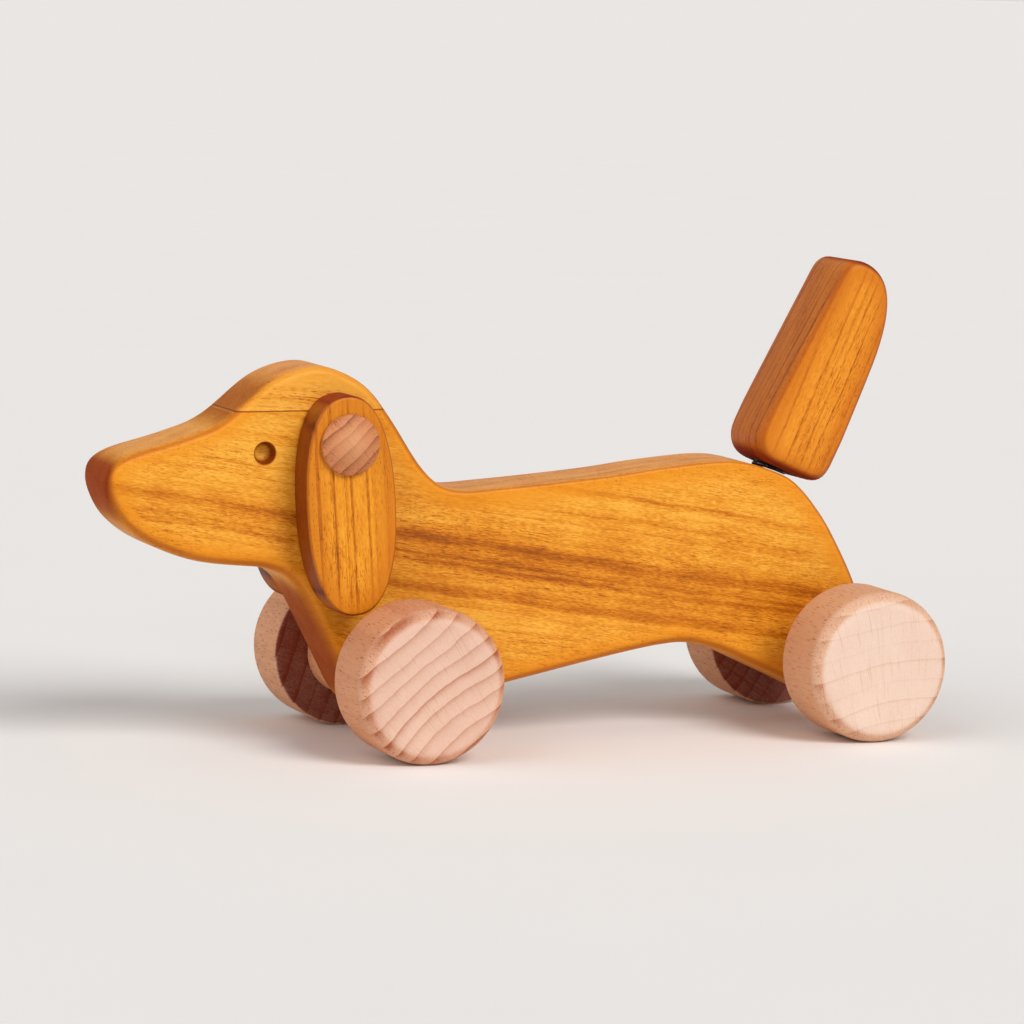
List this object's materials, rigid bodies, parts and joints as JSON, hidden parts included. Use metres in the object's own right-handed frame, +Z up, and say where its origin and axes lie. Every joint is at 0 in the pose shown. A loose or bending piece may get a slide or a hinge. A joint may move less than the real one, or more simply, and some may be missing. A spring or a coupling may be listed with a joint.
{
  "type": "wooden dog on wheels",
  "caption": "Wooden dachshund toy on turned wheels, sawn from thick board, with ears that swing on domed pegs and a flat tail wagging on a coil spring.",
  "frame": {"origin": "on the floor, under the middle of the toy's length and width", "axes": "+X towards the nose, +Y towards the dog's left side, which the picture shows, +Z up"},
  "size_m": [0.2787, 0.1024, 0.1554],
  "materials": {
    "oiled_wood": "oiled honey-coloured hardwood with long streaks, satin, edges rounded over and burnished",
    "ear_wood": "oiled hardwood, straight grain along the ear, satin",
    "pale_beech": "pale turned beech, growth rings and rays on the end grain, matt",
    "dark_steel": "dark oil-blackened spring wire"
  },
  "bodies": {
    "root": {"body_board": "oiled_wood", "head_crown": "oiled_wood", "left_ear_peg": "pale_beech", "right_ear_peg": "pale_beech"},
    "front_wheel_set": {"front_axle": "pale_beech", "front_left_wheel": "pale_beech", "front_right_wheel": "pale_beech", "front_left_spacer": "pale_beech", "front_right_spacer": "pale_beech"},
    "rear_wheel_set": {"rear_axle": "pale_beech", "rear_left_wheel": "pale_beech", "rear_right_wheel": "pale_beech", "rear_left_spacer": "pale_beech", "rear_right_spacer": "pale_beech"},
    "left_ear": {"left_ear": "ear_wood"},
    "right_ear": {"right_ear": "ear_wood"},
    "tail_spring": {"tail_spring": "dark_steel"},
    "tail": {"tail": "oiled_wood"}
  },
  "joints": [
    {"name": "front_wheels_roll", "type": "hinge", "parent": "root", "child": "front_wheel_set", "pos_m": [0.0432, 0, 0.02495], "axis": [0, 1, 0], "continuous": true},
    {"name": "rear_wheels_roll", "type": "hinge", "parent": "root", "child": "rear_wheel_set", "pos_m": [-0.1144, 0, 0.02495], "axis": [0, 1, 0], "continuous": true},
    {"name": "left_ear_swing", "type": "hinge", "parent": "root", "child": "left_ear", "pos_m": [0.0637, 0.0188, 0.09895], "axis": [0, 1, 0], "continuous": true},
    {"name": "right_ear_swing", "type": "hinge", "parent": "root", "child": "right_ear", "pos_m": [0.0637, -0.0188, 0.09895], "axis": [0, 1, 0], "continuous": true},
    {"name": "tail_nod", "type": "hinge", "parent": "root", "child": "tail_spring", "pos_m": [-0.0958, 0, 0.08505], "axis": [0, 1, 0], "range_deg": [-12, 8], "stiffness_Nm_per_rad": 0.15, "springref_deg": 1.49, "deforming": ["tail_spring"]},
    {"name": "tail_wag", "type": "hinge", "parent": "tail_spring", "child": "tail", "pos_m": [-0.0958, 0, 0.08505], "axis": [0.9205, 0, 0.3907], "range_deg": [-8, 8], "stiffness_Nm_per_rad": 0.15, "deforming": ["tail_spring"]}
  ]
}
